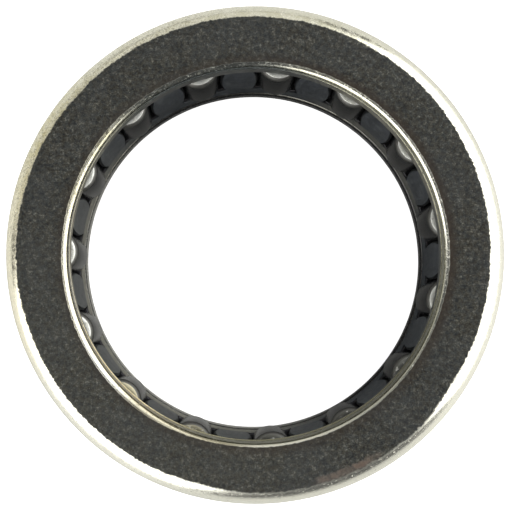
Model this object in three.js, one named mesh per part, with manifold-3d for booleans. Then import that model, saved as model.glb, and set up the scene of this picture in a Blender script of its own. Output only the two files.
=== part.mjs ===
// A drawn-cup needle roller bearing: an outer cup, a cage and fifteen needle rollers.
// Millimetres, +Z up. The origin is on the bearing's axis, in the plane of its lower end face.

import * as THREE from "three";
import { mergeVertices } from "three/addons/utils/BufferGeometryUtils.js";
import Module from "manifold-3d";

// ---- Driving dimensions: the standard inch size 1/2 in bore, 11/16 in outside, 5/16 in wide ----
const INCH = 25.4;
const BORE_RADIUS = INCH / 4;
const OUTER_RADIUS = (11 / 32) * INCH;
const WIDTH = (5 / 16) * INCH;
const ROLLER_RADIUS = INCH / 32;
const ROLLER_COUNT = 15;
const FIRST_ROLLER_ANGLE = THREE.MathUtils.degToRad(11);

// ---- Rollers ----
const PITCH_RADIUS = BORE_RADIUS + ROLLER_RADIUS;
const ROLLER_LENGTH = 3.6;
const ROLLER_END_ROUND = 0.2;
const ROLLER_END_STEPS = 4;
const ROLLER_SIDES = 24;

// ---- Outer cup ----
const RADIAL_CLEARANCE = 0.03;
const RACEWAY_RADIUS = PITCH_RADIUS + ROLLER_RADIUS + RADIAL_CLEARANCE;
const LIP_THICKNESS = 0.8;
const LIP_BORE_RADIUS = 6.52;
const LIP_EDGE_ROUND = 0.17;
const CUP_CORNER_ROUND = 0.8;
const RACEWAY_CORNER_CUT = 0.1;
const CUP_CORNER_STEPS = 6;
const LIP_EDGE_STEPS = 3;
const CUP_SEGMENTS = 96;

// ---- Cage ----
const CAGE_AXIAL_PLAY = 0.05;
const CAGE_BORE_RADIUS = 6.6;
const CAGE_RIM_RADIUS = 7.8;
const CAGE_BAR_RADIUS = 7.42;
const CAGE_EDGE_CHAMFER = 0.06;
const CAGE_SEGMENTS = 90;
const POCKET_END_CLEARANCE = 0.07;
const POCKET_SIDE_CLEARANCE = 0.055;
const POCKET_LENGTH = ROLLER_LENGTH + 2 * POCKET_END_CLEARANCE;
const POCKET_RADIUS = ROLLER_RADIUS + POCKET_SIDE_CLEARANCE;
const POCKET_SIDES = 32;
const WINDOW_MIDDLE_HALF_WIDTH = 0.69;
const WINDOW_END_HALF_WIDTH = 0.83;
const WINDOW_CURVE_STEPS = 8;
const WINDOW_OVERCUT = 0.2;

// ---- Outlines: points [radius, height] ----

// Points on a circle from one angle to another, both ends included.
function arc(centreRadius, centreHeight, radius, startDegrees, endDegrees, steps) {
  return Array.from({ length: steps + 1 }, (_, i) => {
    const angle = THREE.MathUtils.degToRad(startDegrees + ((endDegrees - startDegrees) * i) / steps);
    return [centreRadius + radius * Math.cos(angle), centreHeight + radius * Math.sin(angle)];
  });
}

// The upper half of the cup's section, from the outside at mid height, over the lip, to the raceway.
function upperHalfOfCupSection() {
  const lipUnderside = WIDTH - LIP_THICKNESS;
  const cornerRadius = OUTER_RADIUS - CUP_CORNER_ROUND;
  const lipRadius = LIP_BORE_RADIUS + LIP_EDGE_ROUND;
  return [
    ...arc(cornerRadius, WIDTH - CUP_CORNER_ROUND, CUP_CORNER_ROUND, 0, 90, CUP_CORNER_STEPS),
    ...arc(lipRadius, WIDTH - LIP_EDGE_ROUND, LIP_EDGE_ROUND, 90, 180, LIP_EDGE_STEPS),
    ...arc(lipRadius, lipUnderside + LIP_EDGE_ROUND, LIP_EDGE_ROUND, 180, 270, LIP_EDGE_STEPS),
    [RACEWAY_RADIUS - RACEWAY_CORNER_CUT, lipUnderside],
    [RACEWAY_RADIUS, lipUnderside - RACEWAY_CORNER_CUT],
  ];
}

function cupSection() {
  const upper = upperHalfOfCupSection();
  const lower = upper.map(([radius, height]) => [radius, WIDTH - height]).reverse();
  return [...upper, ...lower];
}

// Rims at both ends with a shallower band between them, where the bars are.
function cageSection() {
  const bottom = LIP_THICKNESS + CAGE_AXIAL_PLAY;
  const top = WIDTH - bottom;
  const rimLength = (top - bottom - POCKET_LENGTH) / 2;
  const chamfer = CAGE_EDGE_CHAMFER;
  return [
    [CAGE_BORE_RADIUS, bottom + chamfer],
    [CAGE_BORE_RADIUS + chamfer, bottom],
    [CAGE_RIM_RADIUS - chamfer, bottom],
    [CAGE_RIM_RADIUS, bottom + chamfer],
    [CAGE_RIM_RADIUS, bottom + rimLength],
    [CAGE_BAR_RADIUS, bottom + rimLength],
    [CAGE_BAR_RADIUS, top - rimLength],
    [CAGE_RIM_RADIUS, top - rimLength],
    [CAGE_RIM_RADIUS, top - chamfer],
    [CAGE_RIM_RADIUS - chamfer, top],
    [CAGE_BORE_RADIUS + chamfer, top],
    [CAGE_BORE_RADIUS, top - chamfer],
  ];
}

// A cylinder with a rounded corner at both ends.
function rollerSection() {
  const top = ROLLER_LENGTH / 2;
  const flat = ROLLER_RADIUS - ROLLER_END_ROUND;
  return [
    [0, -top],
    ...arc(flat, ROLLER_END_ROUND - top, ROLLER_END_ROUND, 270, 360, ROLLER_END_STEPS),
    ...arc(flat, top - ROLLER_END_ROUND, ROLLER_END_ROUND, 0, 90, ROLLER_END_STEPS),
    [0, top],
  ];
}

// ---- Solids ----

// A closed solid of revolution about +Z. Its outline runs anticlockwise in the (radius, height) plane.
function turned(outline, segments, closesOnItself) {
  const points = outline.map(([radius, height]) => new THREE.Vector2(radius, height));
  if (closesOnItself) {
    points.push(points[0].clone());
  }
  const geometry = new THREE.LatheGeometry(points, segments);
  geometry.rotateX(Math.PI / 2);
  return geometry;
}

// The round space of one roller, about the origin.
function pocketSpace() {
  const space = new THREE.CylinderGeometry(POCKET_RADIUS, POCKET_RADIUS, POCKET_LENGTH, POCKET_SIDES);
  return space.rotateX(Math.PI / 2);
}

// The window pressed through the cage's wall for one roller, about the pocket's axis, with the
// bearing's axis towards -X. Its sides bulge inwards, so the bars between the windows are barrel
// shaped, and the window's middle is narrower than the roller and keeps it from falling inwards.
function windowSpace() {
  const end = POCKET_LENGTH / 2;
  const bulgeReach = (4 * WINDOW_MIDDLE_HALF_WIDTH - WINDOW_END_HALF_WIDTH) / 3;
  const bulgeHeight = end / 2;
  const outline = new THREE.Shape();
  outline.moveTo(-WINDOW_END_HALF_WIDTH, -end);
  outline.lineTo(WINDOW_END_HALF_WIDTH, -end);
  outline.bezierCurveTo(bulgeReach, -bulgeHeight, bulgeReach, bulgeHeight, WINDOW_END_HALF_WIDTH, end);
  outline.lineTo(-WINDOW_END_HALF_WIDTH, end);
  outline.bezierCurveTo(-bulgeReach, bulgeHeight, -bulgeReach, -bulgeHeight, -WINDOW_END_HALF_WIDTH, -end);
  const depth = CAGE_BAR_RADIUS - CAGE_BORE_RADIUS + 2 * WINDOW_OVERCUT;
  const options = { depth, bevelEnabled: false, curveSegments: WINDOW_CURVE_STEPS };
  const space = new THREE.ExtrudeGeometry(outline, options);
  const across = new THREE.Vector3(0, 1, 0);
  const along = new THREE.Vector3(0, 0, 1);
  const outwards = new THREE.Vector3(1, 0, 0);
  space.applyMatrix4(new THREE.Matrix4().makeBasis(across, along, outwards));
  return space.translate(CAGE_BORE_RADIUS - WINDOW_OVERCUT - PITCH_RADIUS, 0, 0);
}

function rollerAngle(index) {
  return FIRST_ROLLER_ANGLE + (index * 2 * Math.PI) / ROLLER_COUNT;
}

const wasm = await Module();
wasm.setup();

function toManifold(geometry) {
  const bare = geometry.clone();
  bare.deleteAttribute("normal");
  bare.deleteAttribute("uv");
  const merged = mergeVertices(bare);
  return new wasm.Manifold(
    new wasm.Mesh({
      numProp: 3,
      vertProperties: new Float32Array(merged.attributes.position.array),
      triVerts: new Uint32Array(merged.index.array),
    }),
  );
}

function toGeometry(manifold) {
  const mesh = manifold.getMesh();
  const geometry = new THREE.BufferGeometry();
  geometry.setAttribute("position", new THREE.BufferAttribute(mesh.vertProperties, mesh.numProp));
  geometry.setIndex(new THREE.BufferAttribute(mesh.triVerts, 1));
  geometry.computeVertexNormals();
  return geometry;
}

function cageGeometry() {
  const spaces = [pocketSpace(), windowSpace()];
  let solid = toManifold(turned(cageSection(), CAGE_SEGMENTS, true));
  for (let i = 0; i < ROLLER_COUNT; i++) {
    for (const space of spaces) {
      const cutter = space.clone().translate(PITCH_RADIUS, 0, WIDTH / 2).rotateZ(rollerAngle(i));
      solid = solid.subtract(toManifold(cutter));
    }
  }
  return toGeometry(solid);
}

// ---- Named parts ----

function outerCup() {
  const material = new THREE.MeshStandardMaterial({ color: 0x4a4b48, roughness: 0.5, metalness: 0.9 });
  const cup = new THREE.Mesh(turned(cupSection(), CUP_SEGMENTS, true), material);
  cup.name = "outer_cup";
  return cup;
}

function rollerCage() {
  const material = new THREE.MeshStandardMaterial({ color: 0x5b6064, roughness: 0.4, metalness: 0.9 });
  const cage = new THREE.Mesh(cageGeometry(), material);
  cage.name = "roller_cage";
  return cage;
}

function needleRollers() {
  const material = new THREE.MeshStandardMaterial({ color: 0xb9bcbb, roughness: 0.2, metalness: 1 });
  const geometry = turned(rollerSection(), ROLLER_SIDES, false);
  const group = new THREE.Group();
  for (let i = 0; i < ROLLER_COUNT; i++) {
    const roller = new THREE.Mesh(geometry, material.clone());
    const angle = rollerAngle(i);
    roller.name = `needle_roller_${String(i + 1).padStart(2, "0")}`;
    roller.position.set(PITCH_RADIUS * Math.cos(angle), PITCH_RADIUS * Math.sin(angle), WIDTH / 2);
    roller.rotation.z = angle;
    group.add(roller);
  }
  return group;
}

const bearing = new THREE.Group();
bearing.add(outerCup(), rollerCage(), needleRollers());

export default bearing;
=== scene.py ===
"""A drawn-cup needle roller bearing lying on a white table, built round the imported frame."""

import math

import bmesh
import bpy
from mathutils import Matrix, Vector, noise


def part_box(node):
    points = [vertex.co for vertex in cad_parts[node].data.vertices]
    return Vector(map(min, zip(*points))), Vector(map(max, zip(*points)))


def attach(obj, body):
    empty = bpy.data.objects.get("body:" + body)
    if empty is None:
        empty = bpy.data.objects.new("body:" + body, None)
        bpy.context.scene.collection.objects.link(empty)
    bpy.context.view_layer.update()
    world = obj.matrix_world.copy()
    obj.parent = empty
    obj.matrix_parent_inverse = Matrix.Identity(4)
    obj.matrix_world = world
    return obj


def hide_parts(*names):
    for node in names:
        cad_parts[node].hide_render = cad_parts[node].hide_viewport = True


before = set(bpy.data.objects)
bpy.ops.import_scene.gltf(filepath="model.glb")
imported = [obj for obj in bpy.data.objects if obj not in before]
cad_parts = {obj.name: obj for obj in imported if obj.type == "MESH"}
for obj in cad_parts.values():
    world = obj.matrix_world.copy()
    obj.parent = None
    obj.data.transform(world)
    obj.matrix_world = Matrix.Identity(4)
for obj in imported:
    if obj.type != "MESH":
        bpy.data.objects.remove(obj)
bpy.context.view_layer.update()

MM = 0.001
CAGE_AXIAL_PLAY = 0.05 * MM
RADIAL_CLEARANCE = 0.03 * MM
POCKET_END_CLEARANCE = 0.07 * MM
POCKET_SIDE_CLEARANCE = 0.055 * MM

ROLLER_NODES = sorted(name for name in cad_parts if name.startswith("needle_roller"))


# ---- Sizes read from the frame, in metres ----

def radii(node):
    """The smallest and largest distance of a CAD node's vertices from the bearing's axis."""
    found = [v.co.xy.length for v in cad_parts[node].data.vertices]
    return min(found), max(found)


LIP_BORE, CUP_RADIUS = radii("outer_cup")
CAGE_BORE, CAGE_RIM = radii("roller_cage")
CUP_BOTTOM, CUP_TOP = (corner.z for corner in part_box("outer_cup"))
CAGE_BOTTOM, CAGE_TOP = (corner.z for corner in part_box("roller_cage"))
MID_HEIGHT = (CUP_BOTTOM + CUP_TOP) / 2
ROLLER_BOTTOM, ROLLER_TOP = (corner.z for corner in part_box(ROLLER_NODES[0]))
ROLLER_CENTRES = [sum(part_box(name), Vector()) / 2 for name in ROLLER_NODES]
PITCH_RADIUS = ROLLER_CENTRES[0].xy.length
SHAFT_RADIUS = radii(ROLLER_NODES[0])[0]
ROLLER_RADIUS = PITCH_RADIUS - SHAFT_RADIUS
LIP_THICKNESS = CAGE_BOTTOM - CUP_BOTTOM - CAGE_AXIAL_PLAY
RACEWAY_RADIUS = PITCH_RADIUS + ROLLER_RADIUS + RADIAL_CLEARANCE
POCKET_HALF_LENGTH = (ROLLER_TOP - ROLLER_BOTTOM) / 2 + POCKET_END_CLEARANCE
POCKET_RADIUS = ROLLER_RADIUS + POCKET_SIDE_CLEARANCE


# ---- Camera: almost straight above, looking down the bore ----

CAMERA_HEIGHT = 53.6 * MM
CAMERA_OFFSET = Vector((-0.66, -2.38)) * MM
AIM_OFFSET = Vector((-0.03, -0.087)) * MM
LENS_MM = 109.6


def add_camera():
    """A camera above the upper end face, whose picture has +Y up."""
    data = bpy.data.cameras.new("camera")
    data.lens = LENS_MM
    data.clip_start = 1 * MM
    data.clip_end = 10
    camera = bpy.data.objects.new("camera", data)
    bpy.context.scene.collection.objects.link(camera)
    place = Vector((*CAMERA_OFFSET, CUP_TOP + CAMERA_HEIGHT))
    aim = Vector((*AIM_OFFSET, CUP_TOP))
    back = (place - aim).normalized()
    right = Vector((0, 1, 0)).cross(back).normalized()
    up = back.cross(right)
    turn = Matrix((right, up, back)).transposed()
    camera.matrix_world = Matrix.Translation(place) @ turn.to_4x4()
    bpy.context.scene.camera = camera


add_camera()


# ---- Mesh helpers ----

SHARP_DEGREES = 35
ON_AXIS = 1e-6 * MM


def arc(centre, radius, start, end, steps):
    """Points on a circle round centre, from one angle in degrees to another, both ends included."""
    angles = [math.radians(start + (end - start) * i / steps) for i in range(steps + 1)]
    return [(centre[0] + radius * math.cos(a), centre[1] + radius * math.sin(a)) for a in angles]


def revolve(bm, outline, segments, axis=Vector((0, 0, 0)), material=None):
    """Turns an outline of (radius, height) about a vertical axis. A point at radius 0 becomes one vertex.
    The outline closes on itself unless it starts and ends on the axis. Returns the rings of vertices."""
    rings = []
    for radius, height in outline:
        if radius < ON_AXIS:
            rings.append([bm.verts.new((axis.x, axis.y, height))])
            continue
        ring = []
        for i in range(segments):
            turn = 2 * math.pi * i / segments
            place = (axis.x + radius * math.cos(turn), axis.y + radius * math.sin(turn), height)
            ring.append(bm.verts.new(place))
        rings.append(ring)
    closed = len(rings[0]) > 1
    for i in range(len(rings) if closed else len(rings) - 1):
        lower, upper = rings[i], rings[(i + 1) % len(rings)]
        for k in range(segments):
            corners = [lower[k % len(lower)], lower[(k + 1) % len(lower)],
                       upper[(k + 1) % len(upper)], upper[k % len(upper)]]
            face = bm.faces.new(list(dict.fromkeys(corners)))
            face.material_index = material(i) if material else 0
    return rings


def smooth(mesh):
    """Shades a mesh smooth except at its sharp edges."""
    mesh.shade_smooth()
    mesh.set_sharp_from_angle(angle=math.radians(SHARP_DEGREES))


def finish_mesh(bm, name, materials):
    """Makes a smooth object of a bmesh, with its faces pointing out."""
    bmesh.ops.recalc_face_normals(bm, faces=bm.faces)
    mesh = bpy.data.meshes.new(name)
    bm.to_mesh(mesh)
    bm.free()
    smooth(mesh)
    for material in materials:
        mesh.materials.append(material)
    obj = bpy.data.objects.new(name, mesh)
    bpy.context.scene.collection.objects.link(obj)
    return obj


# ---- Node helpers ----

class Shader:
    """A material's node tree, with short ways to add nodes. Coordinates are in millimetres."""

    def __init__(self, name):
        self.material = bpy.data.materials.new(name)
        self.material.use_nodes = True
        self.tree = self.material.node_tree
        self.surface = self.tree.nodes["Principled BSDF"]
        coordinates = self.tree.nodes.new("ShaderNodeTexCoord").outputs["Object"]
        self.place = self.node("ShaderNodeVectorMath", {0: coordinates, "Scale": 1 / MM}, operation="SCALE")
        axes = self.tree.nodes.new("ShaderNodeSeparateXYZ")
        self.tree.links.new(self.place, axes.inputs[0])
        self.z = axes.outputs["Z"]

    def node(self, kind, inputs, **settings):
        """Adds a node, sets or links its inputs, and returns its first output."""
        made = self.tree.nodes.new(kind)
        for key, value in settings.items():
            setattr(made, key, value)
        for key, value in inputs.items():
            self.feed(made.inputs[key], value)
        return made.outputs[0]

    def feed(self, socket, value):
        """Links a socket to another node's output, or sets its value."""
        if isinstance(value, bpy.types.NodeSocket):
            self.tree.links.new(value, socket)
        else:
            socket.default_value = value

    def set(self, **inputs):
        """Sets or links the surface's inputs, named with underscores for spaces."""
        for key, value in inputs.items():
            self.feed(self.surface.inputs[key.replace("_", " ")], value)

    def math(self, operation, a, b=0.0):
        return self.node("ShaderNodeMath", {0: a, 1: b}, operation=operation)

    def multiply(self, a, b):
        return self.math("MULTIPLY", a, b)

    def add(self, a, b):
        return self.math("ADD", a, b)

    def subtract(self, a, b):
        return self.math("SUBTRACT", a, b)

    def invert(self, a):
        return self.math("SUBTRACT", 1.0, a)

    def step(self, value, low, high, out_low=0.0, out_high=1.0):
        """A smooth step of value, from out_low at low to out_high at high."""
        inputs = {"Value": value, "From Min": low, "From Max": high, "To Min": out_low, "To Max": out_high}
        return self.node("ShaderNodeMapRange", inputs, interpolation_type="SMOOTHSTEP")

    def noise(self, per_mm, detail=2.0, roughness=0.5, place=None):
        inputs = {"Vector": place or self.place, "Scale": per_mm, "Detail": detail, "Roughness": roughness}
        return self.node("ShaderNodeTexNoise", inputs)

    def stretched(self, x, y, z):
        """The coordinates scaled along each axis, for streaks."""
        return self.node("ShaderNodeVectorMath", {0: self.place, 1: (x, y, z)}, operation="MULTIPLY")

    def radius(self, centre=(0.0, 0.0)):
        """Distance from a vertical axis at centre, in millimetres."""
        moved = self.node("ShaderNodeVectorMath", {0: self.place, 1: (*centre, 0.0)}, operation="SUBTRACT")
        flat = self.node("ShaderNodeVectorMath", {0: moved, 1: (1.0, 1.0, 0.0)}, operation="MULTIPLY")
        return self.measure("LENGTH", {0: flat})

    def measure(self, operation, inputs):
        """A vector operation whose result is a number."""
        made = self.tree.nodes.new("ShaderNodeVectorMath")
        made.operation = operation
        for key, value in inputs.items():
            self.feed(made.inputs[key], value)
        return made.outputs["Value"]

    def towards(self, degrees):
        """Cosine of the angle between a point's direction from the axis and one direction."""
        turn = math.radians(degrees)
        dot = self.measure("DOT_PRODUCT", {0: self.place, 1: (math.cos(turn), math.sin(turn), 0.0)})
        return self.math("DIVIDE", dot, self.radius())

    def sector(self, degrees, start, full, strength=1.0):
        """A mask for one side of the bearing, whose middle is at an angle from +X. It grows from 0 to
        strength where the cosine of the angle from the middle grows from start to full."""
        return self.step(self.towards(degrees), start, full, 0.0, strength)

    def from_middle(self):
        """Distance above or below the bearing's mid height, in millimetres."""
        return self.math("ABSOLUTE", self.subtract(self.z, MID_HEIGHT / MM))

    def upper_half(self, strength=1.0):
        """A mask that is 0 near the bearing's lower end and strength near its upper end."""
        return self.step(self.z, MID_HEIGHT / MM - 1, MID_HEIGHT / MM + 1, 0.0, strength)

    def mix(self, factor, a, b):
        """Colour a where factor is 0 and colour b where it is 1."""
        made = self.tree.nodes.new("ShaderNodeMix")
        made.data_type = "RGBA"
        colours = [s for s in made.inputs if s.type == "RGBA"]
        self.feed(made.inputs[0], factor)
        self.feed(colours[0], self.colour(a))
        self.feed(colours[1], self.colour(b))
        return next(s for s in made.outputs if s.type == "RGBA")

    def blend(self, factor, a, b):
        """Number a where factor is 0 and number b where it is 1."""
        made = self.tree.nodes.new("ShaderNodeMix")
        self.feed(made.inputs[0], factor)
        self.feed(made.inputs[2], a)
        self.feed(made.inputs[3], b)
        return made.outputs[0]

    @staticmethod
    def colour(value):
        return (*value, 1.0) if isinstance(value, tuple) and len(value) == 3 else value

    def bump(self, height, depth_mm, strength=1.0):
        """Feeds the surface's normal from a height of 0 to 1 that stands for depth_mm."""
        inputs = {"Height": height, "Distance": depth_mm * MM, "Strength": strength}
        self.set(Normal=self.node("ShaderNodeBump", inputs))


# ---- Materials: sizes in millimetres, directions in degrees from +X, anticlockwise from above ----

HALF_WIDTH = (CUP_TOP - CUP_BOTTOM) / 2 / MM
BORDER_RADIUS = 8.20
BORDER_CENTRE = (-0.06, 0.035)
BORDER_SOFTNESS = 0.025
LARGE_RAGS = 0.10
SMALL_RAGS = 0.16
NEAR_BORDER_SHIFT = 0.12
NEAR_BORDER_BLUR = 0.06
LEFT_BORDER_SHIFT = 0.035
LIP_FLAT_EDGE = 6.72
LIP_CENTRE = (0.014, -0.065)
LIP_PAINTED_SHADE_WIDTH = 0.38
SHOULDER_RADIUS = 8.42

BARE_STEEL = (0.85, 0.84, 0.75)
GOLDEN_STEEL = (0.90, 0.86, 0.70)
TARNISHED_STEEL = (0.66, 0.645, 0.52)
TARNISHED_WARM = (0.64, 0.59, 0.38)
# Painted shade for the bare steel on the near side.
NEAR_SIDE_PAINTED_SHADE = (0.50, 0.50, 0.45)
# Painted shade for the outer shoulder at the upper right.
SHOULDER_PAINTED_SHADE = (0.64, 0.63, 0.55)
OUTSIDE_STEEL = (0.46, 0.46, 0.43), (0.66, 0.66, 0.62)
SPECKLE_DARK = (0.25, 0.24, 0.18)
PIT_DARK = (0.16, 0.15, 0.11)
# Painted shade for the lip's bright edge, plain and golden.
LIP_EDGE_PAINTED_SHADE = (0.30, 0.31, 0.29)
LIP_EDGE_GOLDEN_SHADE = (0.36, 0.33, 0.24)
UPPER_WALL_STEEL = (0.50, 0.49, 0.38)
# Painted shade for the upper lip's wall at the near side, the top and the left.
UPPER_WALL_NEAR_SHADE = (0.26, 0.25, 0.17)
UPPER_WALL_COOL_SHADE = (0.21, 0.235, 0.235)
UPPER_WALL_LEFT_SHADE = (0.36, 0.34, 0.27)
UPPER_WALL_GOLDEN = (0.55, 0.48, 0.31)
# Painted shade for the lower lip's wall, and painted light for its lower left side.
LOWER_WALL_PAINTED_SHADE = (0.05, 0.05, 0.055)
LOWER_WALL_PAINTED_LIGHT = (0.55, 0.55, 0.52)
# Painted shade for the cup's inside between the lips.
RACEWAY_PAINTED_SHADE = (0.08, 0.08, 0.08)
LAYER_DARK = (0.012, 0.013, 0.011)
LAYER_MIDDLE = (0.048, 0.049, 0.043)
LAYER_LIGHT = (0.19, 0.19, 0.165)
LAYER_FLECK = (0.32, 0.32, 0.29)
LAYER_BLUISH = (0.035, 0.045, 0.075)
LAYER_BROWNISH = (0.080, 0.056, 0.040)
LAYER_CLOUD = (0.05, 0.055, 0.06)
# Painted shade along the lip.
LAYER_LIP_PAINTED_SHADE = (0.035, 0.026, 0.020)
HEAT_STAIN = (0.10, 0.038, 0.022)
CAGE_DARK = (0.21, 0.225, 0.255)
CAGE_LIGHT = (0.34, 0.36, 0.38)
# Painted light for the cage.
CAGE_PAINTED_LIGHT = (0.80, 0.76, 0.64)
# Painted shade for the cage's pockets.
POCKET_PAINTED_SHADE = (0.055, 0.055, 0.06)
ROLLER_STEEL = (0.11, 0.115, 0.12)
ROLLER_MARKS = (0.16, 0.165, 0.17)
ROLLER_CORNER_STEEL = (0.15, 0.15, 0.145)
ROLLER_END_STEEL = (0.82, 0.83, 0.80)
ROLLER_END_PITTED = (0.22, 0.21, 0.16)
ROLLER_END_GOLDEN = (0.55, 0.51, 0.37)
# Painted shade for the roller ends on the near side.
ROLLER_END_PAINTED_SHADE = (0.04, 0.04, 0.03)
TABLE_WHITE = (0.80, 0.80, 0.79)


def ragged_distance(s):
    """Distance from the border's centre with ragged offsets, along which the layer's outer border runs."""
    large = s.multiply(s.noise(2.2, 3.0), LARGE_RAGS)
    small = s.multiply(s.noise(9.0, 4.0, 0.65), SMALL_RAGS)
    offset = s.subtract(s.add(large, small), (LARGE_RAGS + SMALL_RAGS) / 2)
    return s.add(s.radius(BORDER_CENTRE), offset)


def layer_mask(s, border, near_side):
    """1 on the dark layer. It covers the flat of both ends, from the lip's edge to a ragged outer border
    that lies further out and is blurred on the near side."""
    near_shift = s.multiply(near_side, NEAR_BORDER_SHIFT)
    shift = s.add(near_shift, s.sector(172, 0.86, 0.97, LEFT_BORDER_SHIFT))
    start = s.add(BORDER_RADIUS - BORDER_SOFTNESS, shift)
    stop = s.add(s.add(BORDER_RADIUS + BORDER_SOFTNESS, shift), s.multiply(near_side, NEAR_BORDER_BLUR))
    within = s.step(border, start, stop, 1.0, 0.0)

    rags = s.multiply(s.subtract(s.noise(7.0, 4.0, 0.6), 0.5), 0.08)
    closer = s.add(s.sector(-65, 0.45, 0.85, 0.085), s.sector(108, 0.85, 0.97, 0.030))
    closer = s.add(closer, s.sector(25, 0.50, 0.90, 0.025))
    from_lip = s.add(s.add(s.radius(LIP_CENTRE), rags), closer)
    beyond_lip = s.step(from_lip, LIP_FLAT_EDGE - 0.015, LIP_FLAT_EDGE + 0.02)

    on_end = s.step(s.from_middle(), HALF_WIDTH - 0.16, HALF_WIDTH - 0.10)
    return s.multiply(s.multiply(within, beyond_lip), on_end)


def layer_colour(s, grain):
    """Near black with light grains, faint bluish and brownish tints, painted light towards the lower left,
    and a brown painted shade along the lip, deepest on the right.
    """
    colour = s.mix(s.step(grain, 0.36, 0.55), LAYER_DARK, LAYER_MIDDLE)
    colour = s.mix(s.step(grain, 0.55, 0.70), colour, LAYER_LIGHT)
    flecks = s.noise(17.0, 1.0, 0.5, s.stretched(1.0, 1.0, 0.0))
    colour = s.mix(s.step(flecks, 0.71, 0.78, 0.0, 0.5), colour, LAYER_FLECK)
    tint = s.step(s.noise(9.0, 2.0, 0.5), 0.38, 0.62)
    colour = s.mix(0.11, colour, s.mix(tint, LAYER_BLUISH, LAYER_BROWNISH))
    # Painted light: the layer is lighter towards the lower left.
    colour = s.mix(s.sector(232, 0.35, 0.95, 0.07), colour, LAYER_LIGHT)
    colour = s.mix(s.step(s.noise(0.55, 2.0), 0.35, 0.7, 0.0, 0.25), colour, LAYER_CLOUD)
    # Painted shade along the lip, deepest on the right side.
    near_lip = s.step(s.radius(LIP_CENTRE), LIP_FLAT_EDGE, LIP_FLAT_EDGE + LIP_PAINTED_SHADE_WIDTH, 1.0, 0.0)
    depth = s.step(s.towards(25), 0.30, 0.90, 0.40, 0.75)
    return s.mix(s.multiply(near_lip, depth), colour, LAYER_LIP_PAINTED_SHADE)


def stain_mask(s, border):
    """A cloudy patch of heat stain across the layer's outer border."""
    inner = s.step(border, BORDER_RADIUS - 0.18, BORDER_RADIUS - 0.04)
    outer = s.step(border, BORDER_RADIUS + 0.18, BORDER_RADIUS + 0.02)
    cloudy = s.step(s.noise(4.0, 2.0), 0.35, 0.6, 0.4, 1.0)
    return s.multiply(s.multiply(s.sector(-67, 0.985, 0.998), s.multiply(inner, outer)), cloudy)


def tarnished_steel(s):
    """Bare steel, golden on the left and tarnished in patches at the top, with painted shade on the near
    side and on the outer shoulder at the upper right.
    """
    bare = s.mix(s.sector(182, 0.84, 0.97), BARE_STEEL, GOLDEN_STEEL)
    tarnished = s.mix(s.sector(168, 0.78, 0.97), TARNISHED_STEEL, TARNISHED_WARM)
    patches = s.step(s.noise(3.0, 4.0, 0.6), 0.40, 0.62, 0.45, 1.0)
    colour = s.mix(s.multiply(s.sector(110, 0.40, 0.75, 0.85), patches), bare, tarnished)
    # Painted shade: the bare steel is darkened on the near side.
    colour = s.mix(s.sector(280, 0.75, 0.95, 0.45), colour, NEAR_SIDE_PAINTED_SHADE)
    # Painted shade on the outer shoulder at the upper right.
    on_shoulder = s.step(s.radius(), SHOULDER_RADIUS, SHOULDER_RADIUS + 0.10)
    return s.mix(s.multiply(on_shoulder, s.sector(68, 0.55, 0.90, 0.5)), colour, SHOULDER_PAINTED_SHADE)


def shade_lip_edge(s, colour):
    """Paints shade on the lip's bright edge on two sides, dimming its highlight there, and a golden painted
    shade on a third.
    """
    on_lip = s.step(s.radius(LIP_CENTRE), LIP_FLAT_EDGE + 0.10, LIP_FLAT_EDGE + 0.05)
    # Painted shade: darkens the lip's edge at the top and at the lower right.
    colour = s.mix(s.multiply(on_lip, s.sector(107, 0.82, 0.97)), colour, LIP_EDGE_PAINTED_SHADE)
    colour = s.mix(s.multiply(on_lip, s.sector(325, 0.78, 0.96, 0.6)), colour, LIP_EDGE_PAINTED_SHADE)
    # Painted golden shade on the lip's edge at the lower left.
    return s.mix(s.multiply(on_lip, s.sector(246, 0.90, 0.975, 0.9)), colour, LIP_EDGE_GOLDEN_SHADE)


def darken_pits(s, colour, pits):
    """Adds dark speckles and pits, most of them on the upper left."""
    upper_left = s.sector(140, 0.55, 0.95)
    speckles = s.step(s.noise(13.0, 4.0, 0.75), 0.50, 0.60, 0.0, 0.6)
    colour = s.mix(s.multiply(speckles, upper_left), colour, SPECKLE_DARK)
    return s.mix(s.multiply(pits, s.add(0.06, s.multiply(upper_left, 0.5))), colour, PIT_DARK)


def tint_lip_walls(s, colour):
    """Colours the walls of both lips' bores, with painted light and shade that differ by side: the upper
    wall has painted shade at the left, the top and the near side and turns golden at the lower left, and
    the lower wall is painted shade with painted light on its lower left.
    """
    # Painted shade on the upper wall at the left, the top and the near side; golden towards the lower left.
    upper = s.mix(s.sector(197, 0.60, 0.92), UPPER_WALL_STEEL, UPPER_WALL_LEFT_SHADE)
    upper = s.mix(s.sector(232, 0.80, 0.97, 0.85), upper, UPPER_WALL_GOLDEN)
    upper = s.mix(s.sector(103, 0.80, 0.97), upper, UPPER_WALL_COOL_SHADE)
    upper = s.mix(s.sector(292, 0.45, 0.90, 0.85), upper, UPPER_WALL_NEAR_SHADE)
    # The lower wall is painted shade, with painted light towards the lower left.
    lower = s.mix(s.sector(215, -0.1, 0.7), LOWER_WALL_PAINTED_SHADE, LOWER_WALL_PAINTED_LIGHT)
    upper_half = s.upper_half()
    on_wall = s.step(s.radius(LIP_CENTRE), LIP_FLAT_EDGE - 0.06, LIP_FLAT_EDGE - 0.10)
    below_edge = s.step(s.from_middle(), HALF_WIDTH - 0.03, HALF_WIDTH - 0.10)
    below_edge = s.math("MAXIMUM", below_edge, s.invert(upper_half))
    return s.mix(s.multiply(on_wall, below_edge), colour, s.mix(upper_half, lower, upper))


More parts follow.
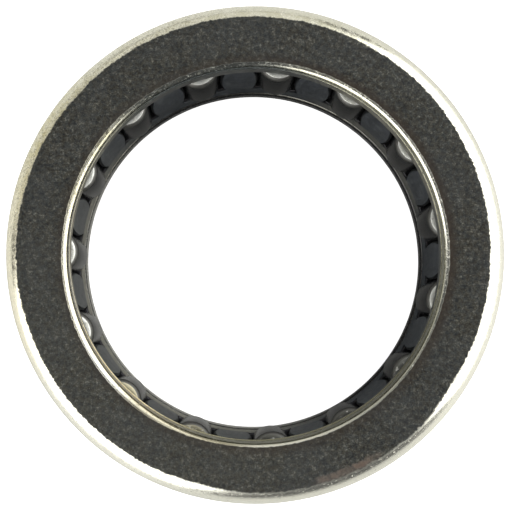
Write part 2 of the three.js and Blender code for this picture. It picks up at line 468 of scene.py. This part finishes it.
def tint_outside(s, colour):
    """Gives the cup's side a greyer finish with fine marks round it."""
    marks = s.noise(3.0, 4.0, 0.6, s.stretched(0.3, 0.3, 3.0))
    on_side = s.step(s.radius(), CUP_RADIUS / MM - 0.10, CUP_RADIUS / MM - 0.02)
    off_corners = s.step(s.from_middle(), HALF_WIDTH - 0.45, HALF_WIDTH - 0.80)
    return s.mix(s.multiply(on_side, off_corners), colour, s.mix(marks, *OUTSIDE_STEEL))


def shade_raceway(s, colour):
    """Paints shade on the inside of the cup between its lips."""
    inside = s.step(s.radius(), RACEWAY_RADIUS / MM + 0.3, RACEWAY_RADIUS / MM + 0.2)
    between_lips = s.step(s.from_middle(), HALF_WIDTH - 0.70, HALF_WIDTH - 0.80)
    return s.mix(s.multiply(inside, between_lips), colour, RACEWAY_PAINTED_SHADE)


def cup_steel():
    """Bare drawn steel, with a dark grained layer left on the flat of both ends."""
    s = Shader("cup_steel")
    near_side = s.sector(-68, 0.80, 0.96)
    border = ragged_distance(s)
    stain = stain_mask(s, border)
    layer = s.multiply(layer_mask(s, border, near_side), s.invert(s.multiply(stain, 0.2)))
    grain = s.noise(8.0, 4.0, 0.85)
    pits = s.step(s.noise(11.0, 3.0, 0.7), 0.60, 0.68)
    pits = s.multiply(pits, s.step(s.towards(-70), 0.60, 0.90, 1.0, 1.3))

    bare = shade_lip_edge(s, tarnished_steel(s))
    bare = darken_pits(s, bare, pits)
    bare = tint_lip_walls(s, bare)
    bare = tint_outside(s, bare)
    bare = shade_raceway(s, bare)
    colour = s.mix(layer, bare, layer_colour(s, grain))
    colour = s.mix(s.multiply(stain, 0.5), colour, HEAT_STAIN)

    bare_roughness = s.step(s.noise(5.0, 3.0), 0.3, 0.7, 0.16, 0.30)
    bare_roughness = s.blend(near_side, bare_roughness, 0.25)
    metallic = s.blend(s.step(layer, 0.5, 1.0), 1.0, 0.15)
    s.set(Base_Color=colour, Metallic=metallic, Roughness=s.blend(layer, bare_roughness, 0.60))
    s.set(Specular_IOR_Level=0.1)

    lines = s.noise(6.0, 2.0, 0.5, s.stretched(0.15, 0.15, 4.0))
    bare_height = s.add(s.multiply(lines, 0.25), s.multiply(pits, -0.4))
    bare_height = s.add(bare_height, s.multiply(near_side, 0.38))
    s.bump(s.blend(layer, bare_height, grain), 0.018, 0.9)
    return s.material


def cage_steel():
    """Dark blued steel with fine marks along the bore, with painted light on one side and most on the rims,
    and painted shade on all but the bore, such as the pocket walls.
    """
    s = Shader("cage_steel")
    marks = s.noise(5.0, 4.0, 0.6, s.stretched(1.0, 1.0, 0.2))
    rubbed = s.step(s.noise(1.6, 3.0, 0.6), 0.45, 0.70)
    colour = s.mix(s.step(marks, 0.35, 0.7), CAGE_DARK, s.mix(rubbed, CAGE_DARK, CAGE_LIGHT))
    # Painted light: the cage is lighter towards the lower left.
    painted_light_side = s.sector(215, -0.1, 0.8)
    colour = s.mix(s.multiply(painted_light_side, 0.13), colour, CAGE_PAINTED_LIGHT)
    rim = s.step(s.from_middle(), POCKET_HALF_LENGTH / MM, POCKET_HALF_LENGTH / MM + 0.08)
    # Painted light on the rims: on the upper rim, at the upper right and towards the lower left.
    rim_painted_light = s.add(s.upper_half(0.22), s.sector(42, 0.85, 0.96, 0.35))
    rim_painted_light = s.add(rim_painted_light, s.multiply(painted_light_side, 0.55))
    colour = s.mix(s.multiply(rim, rim_painted_light), colour, CAGE_PAINTED_LIGHT)
    # Painted shade on everything more than 0.05 mm outside the bore, such as the pocket walls.
    pocket_shade_mask = s.step(s.radius(), CAGE_BORE / MM, CAGE_BORE / MM + 0.05)
    colour = s.mix(pocket_shade_mask, colour, POCKET_PAINTED_SHADE)
    s.set(Base_Color=colour, Metallic=1.0, Roughness=s.step(marks, 0.3, 0.7, 0.34, 0.50))
    s.set(Specular_Tint=(0.35, 0.36, 0.36, 1.0))
    s.bump(marks, 0.006, 0.6)
    return s.material


def roller_steel():
    """Dark ground steel with very fine marks round the roller, duller on the rounded corners."""
    s = Shader("roller_steel")
    marks = s.noise(6.0, 3.0, 0.6, s.stretched(0.3, 0.3, 5.0))
    half_length = (ROLLER_TOP - ROLLER_BOTTOM) / 2 / MM
    corner = s.step(s.from_middle(), half_length - 0.22, half_length - 0.14)
    body = s.mix(s.step(marks, 0.3, 0.7), ROLLER_STEEL, ROLLER_MARKS)
    roughness = s.blend(corner, s.step(marks, 0.3, 0.7, 0.10, 0.16), 0.5)
    s.set(Base_Color=s.mix(corner, body, ROLLER_CORNER_STEEL), Metallic=0.82, Roughness=roughness)
    s.set(Specular_Tint=(0.13, 0.13, 0.135, 1.0))
    s.bump(marks, 0.003, 0.4)
    return s.material


def roller_end_steel():
    """Bright tumbled steel with small dark pits, golden on one side of the bearing, with mottled painted
    shade on the near side.
    """
    s = Shader("roller_end_steel")
    mottle = s.noise(7.0, 4.0, 0.65)
    colour = s.mix(s.step(mottle, 0.55, 0.68, 0.0, 0.45), ROLLER_END_STEEL, ROLLER_END_PITTED)
    colour = s.mix(s.sector(240, 0.80, 0.97), colour, ROLLER_END_GOLDEN)
    # Painted shade on the ends at the near side, mottled.
    shaded_ends = s.mix(s.step(mottle, 0.54, 0.66), ROLLER_END_PAINTED_SHADE, ROLLER_END_STEEL)
    colour = s.mix(s.sector(290, 0.55, 0.92, 0.92), colour, shaded_ends)
    s.set(Base_Color=colour, Metallic=0.7, Roughness=s.step(mottle, 0.3, 0.7, 0.40, 0.60))
    s.bump(mottle, 0.02, 0.8)
    return s.material


def table_white():
    """Matt white, and plain white to the camera."""
    s = Shader("table_white")
    s.set(Base_Color=s.colour(TABLE_WHITE), Roughness=0.9)
    seen = s.tree.nodes.new("ShaderNodeLightPath").outputs["Is Camera Ray"]
    s.set(Emission_Color=(1.0, 1.0, 1.0, 1.0), Emission_Strength=seen)
    return s.material


# ---- Pieces ----

CUP_SEGMENTS = 384
CUP_CORNER_ROUND = 0.8 * MM
LIP_EDGE_ROUND = 0.19 * MM
LOWER_LIP_EDGE_ROUND = 0.17 * MM
LIP_INSET = 0.030 * MM
LIP_LEDGE = 0.022 * MM
LIP_LEDGE_DEPTH = 0.63 * MM
RACEWAY_CORNER_ROUND = 0.1 * MM
CUP_CORNER_STEPS = 24
LIP_EDGE_STEPS = 10
LIP_LEDGE_STEPS = 6
LOWER_LIP_EDGE_STEPS = 8
RACEWAY_CORNER_STEPS = 4


def half_cup_section(bore, edge_round, ledge=0.0):
    """The upper half of the cup's section, from the outside at mid height, over the lip, to the raceway.
    With a ledge, the lip's bore is wider above it, so that its lower edge stands out."""
    underside = CUP_TOP - LIP_THICKNESS
    corner = (CUP_RADIUS - CUP_CORNER_ROUND, CUP_TOP - CUP_CORNER_ROUND)
    race = (RACEWAY_RADIUS - RACEWAY_CORNER_ROUND, underside - RACEWAY_CORNER_ROUND)
    lower_round = LOWER_LIP_EDGE_ROUND
    ledge_centre = (bore + ledge, CUP_TOP - LIP_LEDGE_DEPTH)
    ledge_arc = arc(ledge_centre, ledge, 90, 180, LIP_LEDGE_STEPS) if ledge else []
    return [
        *arc(corner, CUP_CORNER_ROUND, 0, 90, CUP_CORNER_STEPS),
        *arc((bore + ledge + edge_round, CUP_TOP - edge_round), edge_round, 90, 180, LIP_EDGE_STEPS),
        *ledge_arc,
        *arc((bore + lower_round, underside + lower_round), lower_round, 180, 270, LOWER_LIP_EDGE_STEPS),
        *arc(race, RACEWAY_CORNER_ROUND, 90, 0, RACEWAY_CORNER_STEPS),
    ]


def lean_lip(bm, outline, rings):
    """Moves the upper edge of the lip off the axis, and its bore less and less down to the ledge."""
    edge_limit = LIP_BORE + LIP_EDGE_ROUND + LIP_LEDGE
    for (radius, height), ring in zip(outline, rings):
        above_ledge = (height - (CUP_TOP - LIP_LEDGE_DEPTH)) / (LIP_LEDGE_DEPTH - LIP_EDGE_ROUND)
        share = min(1.0, max(0.0, above_ledge))
        if radius < edge_limit:
            bmesh.ops.translate(bm, verts=ring, vec=Vector((*LIP_CENTRE, 0)) * MM * share)


def add_cup(steel):
    """The drawn cup, a shell with a rounded outer corner and a lip at both ends."""
    upper = half_cup_section(LIP_BORE - LIP_INSET, LIP_EDGE_ROUND, LIP_LEDGE)
    lower = half_cup_section(LIP_BORE, LOWER_LIP_EDGE_ROUND)
    lower = [(radius, 2 * MID_HEIGHT - height) for radius, height in reversed(lower)]
    bm = bmesh.new()
    rings = revolve(bm, upper + lower, CUP_SEGMENTS)
    lean_lip(bm, upper, rings)
    cup = finish_mesh(bm, "cup_shell", [steel])
    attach(cup, "outer_cup")
    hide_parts("outer_cup")


CAGE_SEGMENTS = 360
CAGE_EDGE_ROUND = 0.06 * MM
BAR_RADIUS = 7.42 * MM
WINDOW_MIDDLE_HALF_WIDTH = 0.69 * MM
WINDOW_END_HALF_WIDTH = 0.83 * MM
WINDOW_CORNER = 0.12 * MM
WINDOW_EDGE_ROUND = 0.06 * MM
GROOVE_EXTRA = 0.03 * MM
CUT_INWARDS = 0.3 * MM
CUT_OUTWARDS = 0.15 * MM
CAGE_EDGE_STEPS = 5
WINDOW_STEPS = 24
WINDOW_EDGE_STEPS = 5
BOWL_STEPS = 14


def cage_section():
    """The cage's section: rims at both ends and a shallower band for the bars between them."""
    r = CAGE_EDGE_ROUND
    groove_bottom = MID_HEIGHT - POCKET_HALF_LENGTH - GROOVE_EXTRA
    groove_top = MID_HEIGHT + POCKET_HALF_LENGTH + GROOVE_EXTRA
    return [
        *arc((CAGE_BORE + r, CAGE_BOTTOM + r), r, 180, 270, CAGE_EDGE_STEPS),
        *arc((CAGE_RIM - r, CAGE_BOTTOM + r), r, 270, 360, CAGE_EDGE_STEPS),
        (CAGE_RIM, groove_bottom),
        (BAR_RADIUS, groove_bottom),
        (BAR_RADIUS, groove_top),
        (CAGE_RIM, groove_top),
        *arc((CAGE_RIM - r, CAGE_TOP - r), r, 0, 90, CAGE_EDGE_STEPS),
        *arc((CAGE_BORE + r, CAGE_TOP - r), r, 90, 180, CAGE_EDGE_STEPS),
    ]


def window_side():
    """Points (half width, height) up one side of a cage window. The side is a curve that bulges inwards."""
    bulge = (4 * WINDOW_MIDDLE_HALF_WIDTH - WINDOW_END_HALF_WIDTH) / 3
    end = POCKET_HALF_LENGTH
    points = []
    for i in range(WINDOW_STEPS + 1):
        t = 0.5 - 0.5 * math.cos(math.pi * i / WINDOW_STEPS)
        s = 1 - t
        height = end * (t**3 - s**3 + 1.5 * t * s * (t - s))
        half_width = WINDOW_END_HALF_WIDTH - 3 * (WINDOW_END_HALF_WIDTH - bulge) * t * s
        into_corner = max(0.0, abs(height) - (end - WINDOW_CORNER))
        corner_cut = WINDOW_CORNER - math.sqrt(max(0.0, WINDOW_CORNER**2 - into_corner**2))
        points.append((half_width - corner_cut, height))
    return points


def pocket_stations():
    """(distance from the bearing's axis, flare of the edge) of a pocket's sections, going outwards."""
    e = WINDOW_EDGE_ROUND
    turns = [math.radians(90 - 90 * i / WINDOW_EDGE_STEPS) for i in range(WINDOW_EDGE_STEPS + 1)]
    mouth = [(CAGE_BORE + e - e * math.sin(turn), e - e * math.cos(turn)) for turn in turns]
    bowl_start = PITCH_RADIUS - math.sqrt(POCKET_RADIUS**2 - WINDOW_MIDDLE_HALF_WIDTH**2)
    bowl_depth = BAR_RADIUS + CUT_OUTWARDS - bowl_start
    bowl = [(bowl_start + bowl_depth * i / BOWL_STEPS, 0.0) for i in range(BOWL_STEPS + 1)]
    return [(CAGE_BORE - CUT_INWARDS, e), *mouth, *bowl]


def pocket_outline(distance, flare):
    """Points (across, along) of a pocket's section at a distance from the bearing's axis, anticlockwise."""
    round_half_width = math.sqrt(max(0.0, POCKET_RADIUS**2 - (distance - PITCH_RADIUS) ** 2))
    side = []
    for half_width, height in window_side():
        lengthened = height * (1 + flare / POCKET_HALF_LENGTH)
        side.append((max(half_width, round_half_width) + flare, lengthened))
    return side + [(-half_width, height) for half_width, height in reversed(side)]


def add_pocket(bm, angle):
    """The space that one pocket takes out of the cage, as a closed solid."""
    outward = Vector((math.cos(angle), math.sin(angle), 0))
    across = Vector((-math.sin(angle), math.cos(angle), 0))
    rings = []
    for distance, flare in pocket_stations():
        middle = outward * distance + Vector((0, 0, MID_HEIGHT))
        outline = pocket_outline(distance, flare)
        rings.append([bm.verts.new(middle + across * a + Vector((0, 0, b))) for a, b in outline])
    for lower, upper in zip(rings, rings[1:]):
        for k in range(len(lower)):
            j = (k + 1) % len(lower)
            bm.faces.new((lower[k], lower[j], upper[j], upper[k]))
    bm.faces.new(reversed(rings[0]))
    bm.faces.new(rings[-1])


def cut_away(obj, cutter):
    """Takes the cutter's solid out of an object for good, and removes the cutter."""
    cut = obj.modifiers.new("cut", "BOOLEAN")
    cut.operation = "DIFFERENCE"
    cut.solver = "EXACT"
    cut.object = cutter
    graph = bpy.context.evaluated_depsgraph_get()
    mesh = bpy.data.meshes.new_from_object(obj.evaluated_get(graph), depsgraph=graph)
    obj.modifiers.clear()
    obj.data = mesh
    smooth(mesh)
    bpy.data.objects.remove(cutter)


def add_cage(steel):
    """The cage, a steel ring with a pocket for each roller."""
    bm = bmesh.new()
    revolve(bm, cage_section(), CAGE_SEGMENTS)
    ring = finish_mesh(bm, "cage_ring", [steel])
    bm = bmesh.new()
    for centre in ROLLER_CENTRES:
        add_pocket(bm, math.atan2(centre.y, centre.x))
    cut_away(ring, finish_mesh(bm, "pocket_cutter", [steel]))
    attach(ring, "roller_cage")
    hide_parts("roller_cage")


ROLLER_SEGMENTS = 64
ROLLER_END_ROUND = 0.2 * MM
ROLLER_CORNER_STEPS = 10
ROLLER_END_RINGS = 12
BRIGHT_CORNER_STEPS = 3
END_RELIEF = 0.010 * MM
END_RELIEF_PER_MM = 7.0
END_RELIEF_STOP = 1.02
END_RELIEF_FADE = 8.0


def roller_section():
    """From the lower end's centre, round the outside, to the upper end's centre."""
    r = ROLLER_END_ROUND
    flat = ROLLER_RADIUS - r
    spokes = [flat * i / ROLLER_END_RINGS for i in range(ROLLER_END_RINGS)]
    return [
        *((radius, ROLLER_BOTTOM) for radius in spokes),
        *arc((flat, ROLLER_BOTTOM + r), r, 270, 360, ROLLER_CORNER_STEPS),
        *arc((flat, ROLLER_TOP - r), r, 0, 90, ROLLER_CORNER_STEPS),
        *((radius, ROLLER_TOP) for radius in reversed(spokes)),
    ]


def relieve_end(vertex, centre):
    """Sinks a vertex of a roller's end by a smooth random depth, fading out at the rim."""
    out = (vertex.co.xy - centre.xy).length / (ROLLER_RADIUS - ROLLER_END_ROUND)
    inwards = -1 if vertex.co.z > MID_HEIGHT else 1
    depth = 0.5 + 0.5 * noise.fractal(vertex.co / MM * END_RELIEF_PER_MM, 1.0, 2.0, 3)
    fade = min(1.0, END_RELIEF_FADE * (END_RELIEF_STOP - out))
    vertex.co.z += inwards * END_RELIEF * max(depth, 0.0) * fade


def add_roller(node, centre, side_steel, end_steel):
    """One needle roller, with tumbled ends. The ends' steel reaches a little way round the corners."""
    outline = roller_section()
    end_faces = ROLLER_END_RINGS + BRIGHT_CORNER_STEPS
    upper_end = len(outline) - 1 - end_faces
    bm = bmesh.new()
    rings = revolve(bm, outline, ROLLER_SEGMENTS, centre, lambda i: int(not end_faces <= i < upper_end))
    for ring in rings[:ROLLER_END_RINGS] + rings[-ROLLER_END_RINGS:]:
        for vertex in ring:
            relieve_end(vertex, centre)
    roller = finish_mesh(bm, node.replace("needle_roller", "roller_body"), [side_steel, end_steel])
    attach(roller, node)
    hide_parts(node)


# ---- Stage ----

PANEL_DISTANCE = 0.25
TABLE_RADIUS = 1.5
TABLE_SEGMENTS = 96
TABLE_GAP = 0.01 * MM
ROOM_BRIGHTNESS = 0.14


def add_floor(white):
    """A table that the bearing lies on."""
    bm = bmesh.new()
    bmesh.ops.create_circle(bm, cap_ends=True, segments=TABLE_SEGMENTS, radius=TABLE_RADIUS)
    floor = finish_mesh(bm, "table", [white])
    floor.location.z = CUP_BOTTOM - TABLE_GAP


def add_panel(name, azimuth, elevation, width, height, brightness, colour):
    """A soft panel light that faces the bearing, out of the camera's sight. Brightness is its radiance,
    so its power follows from its area. Width and height are in metres."""
    data = bpy.data.lights.new(name, "AREA")
    data.shape = "RECTANGLE"
    data.size, data.size_y = width, height
    data.energy = brightness * width * height * math.pi
    data.color = colour
    panel = bpy.data.objects.new(name, data)
    bpy.context.scene.collection.objects.link(panel)
    a, e = math.radians(azimuth), math.radians(elevation)
    direction = Vector((math.cos(a) * math.cos(e), math.sin(a) * math.cos(e), math.sin(e)))
    panel.location = Vector((0, 0, MID_HEIGHT)) + direction * PANEL_DISTANCE
    panel.rotation_euler = direction.to_track_quat("Z", "Y").to_euler()
    panel.visible_camera = False


def add_world(brightness):
    """An even pale room, white to the camera."""
    world = bpy.data.worlds.new("room")
    world.use_nodes = True
    tree = world.node_tree
    background = tree.nodes["Background"]
    seen = tree.nodes.new("ShaderNodeLightPath").outputs["Is Camera Ray"]
    strength = tree.nodes.new("ShaderNodeMapRange")
    tree.links.new(seen, strength.inputs["Value"])
    strength.inputs["To Min"].default_value = brightness
    strength.inputs["To Max"].default_value = 1.0
    tree.links.new(strength.outputs[0], background.inputs["Strength"])
    background.inputs["Color"].default_value = (1.0, 1.0, 1.0, 1.0)
    bpy.context.scene.world = world


def add_lights():
    add_world(ROOM_BRIGHTNESS)
    add_panel("right_panel", 12, 28, 0.52, 0.28, 2.3, (1.0, 0.99, 0.93))
    add_panel("left_panel", 222, 26, 0.34, 0.24, 2.5, (1.0, 0.99, 0.94))
    add_panel("back_panel", 98, 30, 0.24, 0.26, 0.7, (1.0, 0.98, 0.88))
    add_panel("far_left_panel", 148, 12, 0.22, 0.17, 0.6, (1.0, 0.97, 0.84))
    add_panel("high_panel", 45, 62, 0.18, 0.18, 1.5, (0.97, 0.98, 1.0))


add_cup(cup_steel())
add_cage(cage_steel())
SIDE_STEEL = roller_steel()
END_STEEL = roller_end_steel()
for roller_node, roller_centre in zip(ROLLER_NODES, ROLLER_CENTRES):
    add_roller(roller_node, roller_centre, SIDE_STEEL, END_STEEL)
add_floor(table_white())
add_lights()
bpy.context.scene.view_settings.view_transform = "Standard"
